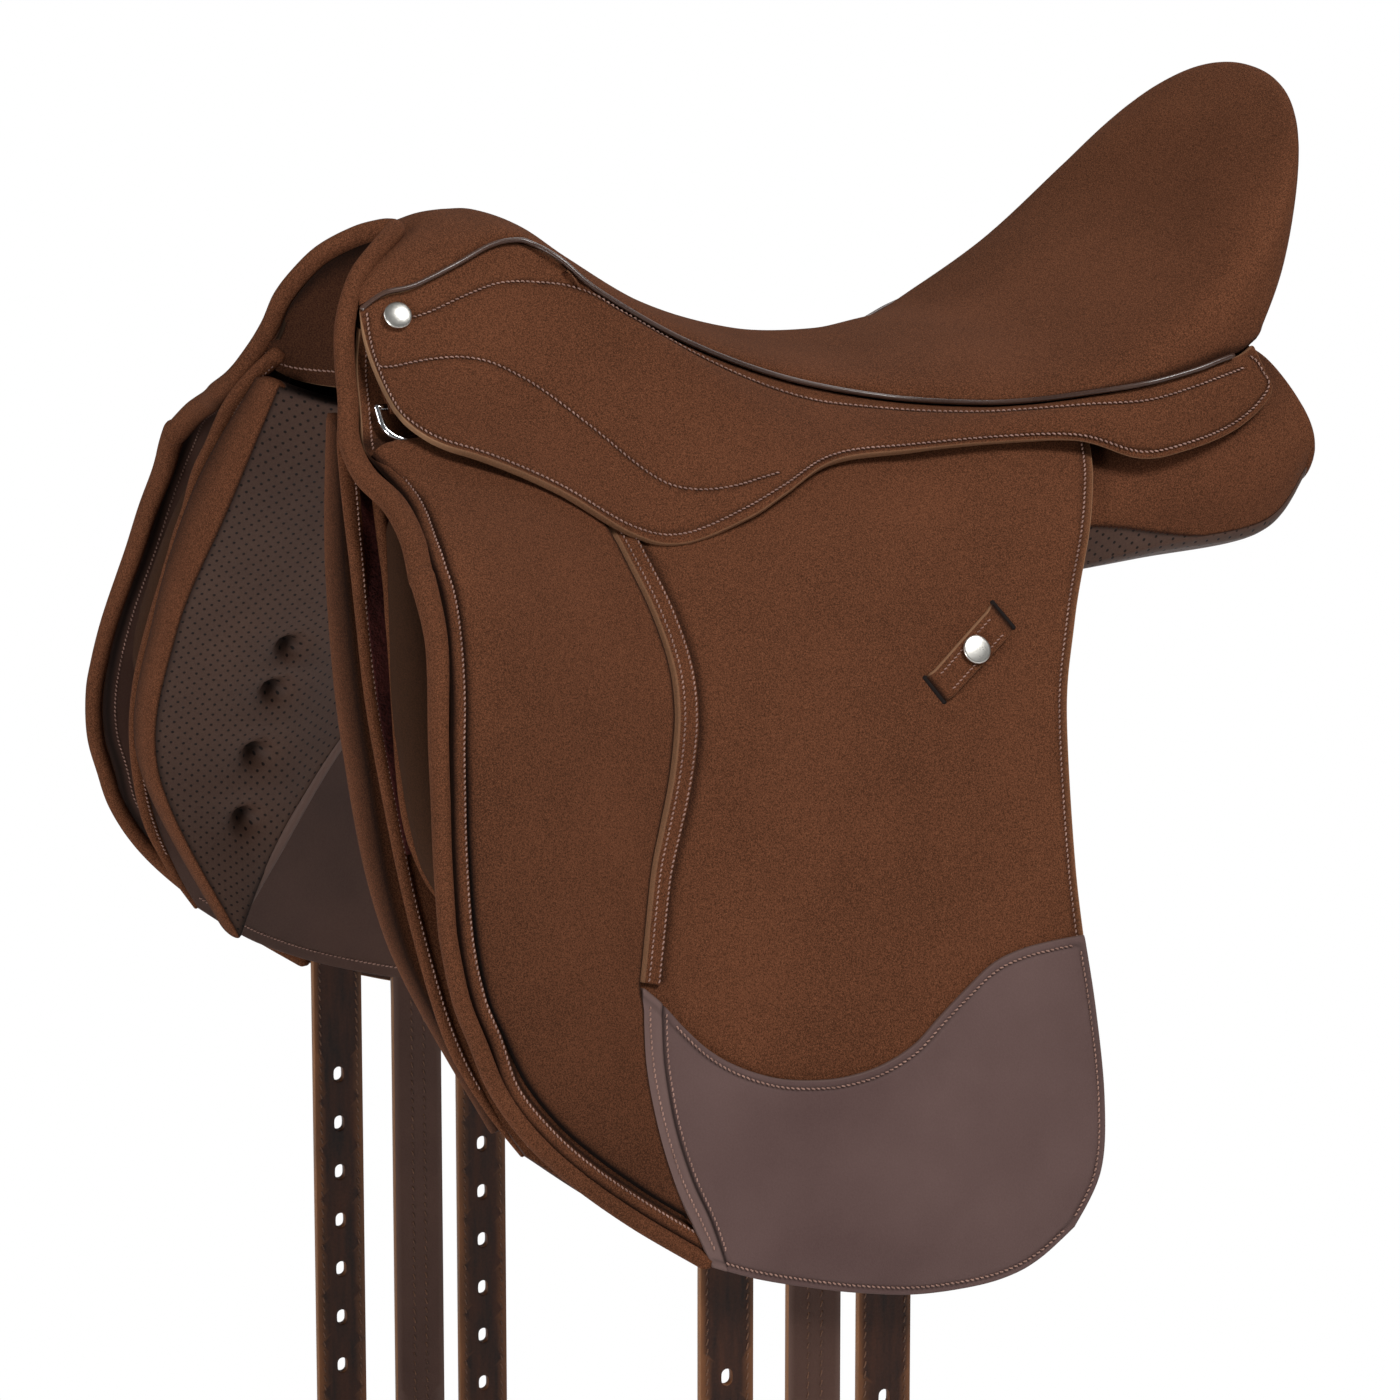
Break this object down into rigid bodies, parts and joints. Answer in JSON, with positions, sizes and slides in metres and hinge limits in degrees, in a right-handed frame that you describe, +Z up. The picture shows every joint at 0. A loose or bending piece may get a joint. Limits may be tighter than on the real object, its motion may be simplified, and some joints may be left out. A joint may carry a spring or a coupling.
{
  "type": "dressage saddle",
  "caption": "Dressage saddle in brown suede with a deep seat, long lifting flaps, knee blocks, tufted panels, hanging girth straps, stirrup bars with catches and front dees.",
  "frame": {"origin": "on the saddle's plane of symmetry, under the lowest point of the seat, at the height where the panels bear on the horse's back", "axes": "X to the near (left) side, Y from pommel to cantle, Z up"},
  "size_m": [0.496, 0.499, 0.7884],
  "materials": {
    "suede": "nubuck",
    "grip": "smooth grain",
    "lining": "perforated and plain lining leather",
    "strap_leather": "bridle leather",
    "piping": "smooth, glossy",
    "tree_plastic": "matt",
    "foam": "soft foam",
    "webbing": "woven",
    "pile": "loop pile",
    "steel": "satin",
    "satin_metal": "satin",
    "chrome": "polished"
  },
  "bodies": {
    "saddle": {"tree": "tree_plastic", "tree_rails": "tree_plastic", "gullet_plate": "steel", "gullet_screws": "steel", "seat_foam": "foam", "seat_cover": "suede", "piping_near": "piping", "piping_off": "piping", "pommel_roll": "suede", "pommel_facing": "suede", "channel_lining": "lining", "cantle_facing": "lining", "girth_webs": "webbing", "nail_buttons": "satin_metal", "stirrup_bar_rivets": "steel", "skirt_near": "suede", "skirt_off": "suede", "flap_top_near": "suede", "flap_top_off": "suede", "sweat_flap_near": "lining", "sweat_flap_off": "lining", "loop_strip_near": "pile", "loop_strip_off": "pile", "knee_block_near": "suede", "knee_block_off": "suede", "panel_near": "lining", "panel_off": "lining", "strap_tops_near": "strap_leather", "strap_tops_off": "strap_leather", "stirrup_bar_near": "steel", "stirrup_bar_off": "steel", "dee_tab_near": "strap_leather", "dee_tab_off": "strap_leather"},
    "flap_lift_near": {"flap_near": "suede", "flap_roll_near": "suede", "knee_pad_near": "suede", "seam_band_near": "suede", "grip_patch_near": "grip", "keeper_near": "suede", "keeper_stud_near": "satin_metal"},
    "skirt_lift_near": {"skirt_lobe_near": "suede"},
    "front_billet_near": {"front_strap_near": "strap_leather"},
    "middle_billet_near": {"middle_strap_near": "strap_leather"},
    "rear_billet_near": {"rear_strap_near": "strap_leather"},
    "catch_near": {"bar_catch_near": "steel"},
    "dee_ring_near": {"dee_near": "chrome"},
    "flap_lift_off": {"flap_off": "suede", "flap_roll_off": "suede", "knee_pad_off": "suede", "seam_band_off": "suede", "grip_patch_off": "grip", "keeper_off": "suede", "keeper_stud_off": "satin_metal"},
    "skirt_lift_off": {"skirt_lobe_off": "suede"},
    "front_billet_off": {"front_strap_off": "strap_leather"},
    "middle_billet_off": {"middle_strap_off": "strap_leather"},
    "rear_billet_off": {"rear_strap_off": "strap_leather"},
    "catch_off": {"bar_catch_off": "steel"},
    "dee_ring_off": {"dee_off": "chrome"}
  },
  "joints": [
    {"name": "flap_lift_near", "type": "hinge", "parent": "saddle", "child": "flap_lift_near", "pos_m": [0.171, -0.24, 0.0245], "axis": [0.0931, -0.9957, 0], "range_deg": [0, 60]},
    {"name": "skirt_lift_near", "type": "hinge", "parent": "saddle", "child": "skirt_lift_near", "pos_m": [0.0523, -0.222, 0.1133], "axis": [-0.2065, -0.9409, 0.2685], "range_deg": [0, 40]},
    {"name": "front_strap_swing_near", "type": "hinge", "parent": "saddle", "child": "front_billet_near", "pos_m": [0.2336, -0.132, -0.272], "axis": [0, -1, 0], "range_deg": [-25, 30]},
    {"name": "middle_strap_swing_near", "type": "hinge", "parent": "saddle", "child": "middle_billet_near", "pos_m": [0.2336, -0.09, -0.285], "axis": [0, -1, 0], "range_deg": [-25, 30]},
    {"name": "rear_strap_swing_near", "type": "hinge", "parent": "saddle", "child": "rear_billet_near", "pos_m": [0.2336, -0.056, -0.293], "axis": [0, -1, 0], "range_deg": [-25, 30]},
    {"name": "catch_turn_near", "type": "hinge", "parent": "saddle", "child": "catch_near", "pos_m": [0.0755, -0.108, 0.069], "axis": [-1, 0, 0], "range_deg": [0, 80]},
    {"name": "dee_swing_near", "type": "hinge", "parent": "saddle", "child": "dee_ring_near", "pos_m": [0.0665, -0.214, 0.0885], "axis": [0, -1, 0], "range_deg": [0, 12]},
    {"name": "flap_lift_off", "type": "hinge", "parent": "saddle", "child": "flap_lift_off", "pos_m": [-0.171, -0.24, 0.0245], "axis": [0.0931, 0.9957, 0], "range_deg": [0, 60]},
    {"name": "skirt_lift_off", "type": "hinge", "parent": "saddle", "child": "skirt_lift_off", "pos_m": [-0.0523, -0.222, 0.1133], "axis": [-0.2065, 0.9409, -0.2685], "range_deg": [0, 40]},
    {"name": "front_strap_swing_off", "type": "hinge", "parent": "saddle", "child": "front_billet_off", "pos_m": [-0.2336, -0.132, -0.272], "axis": [0, 1, 0], "range_deg": [-25, 30]},
    {"name": "middle_strap_swing_off", "type": "hinge", "parent": "saddle", "child": "middle_billet_off", "pos_m": [-0.2336, -0.09, -0.285], "axis": [0, 1, 0], "range_deg": [-25, 30]},
    {"name": "rear_strap_swing_off", "type": "hinge", "parent": "saddle", "child": "rear_billet_off", "pos_m": [-0.2336, -0.056, -0.293], "axis": [0, 1, 0], "range_deg": [-25, 30]},
    {"name": "catch_turn_off", "type": "hinge", "parent": "saddle", "child": "catch_off", "pos_m": [-0.0755, -0.108, 0.069], "axis": [-1, 0, 0], "range_deg": [0, 80]},
    {"name": "dee_swing_off", "type": "hinge", "parent": "saddle", "child": "dee_ring_off", "pos_m": [-0.0665, -0.214, 0.0885], "axis": [0, 1, 0], "range_deg": [0, 12]}
  ]
}
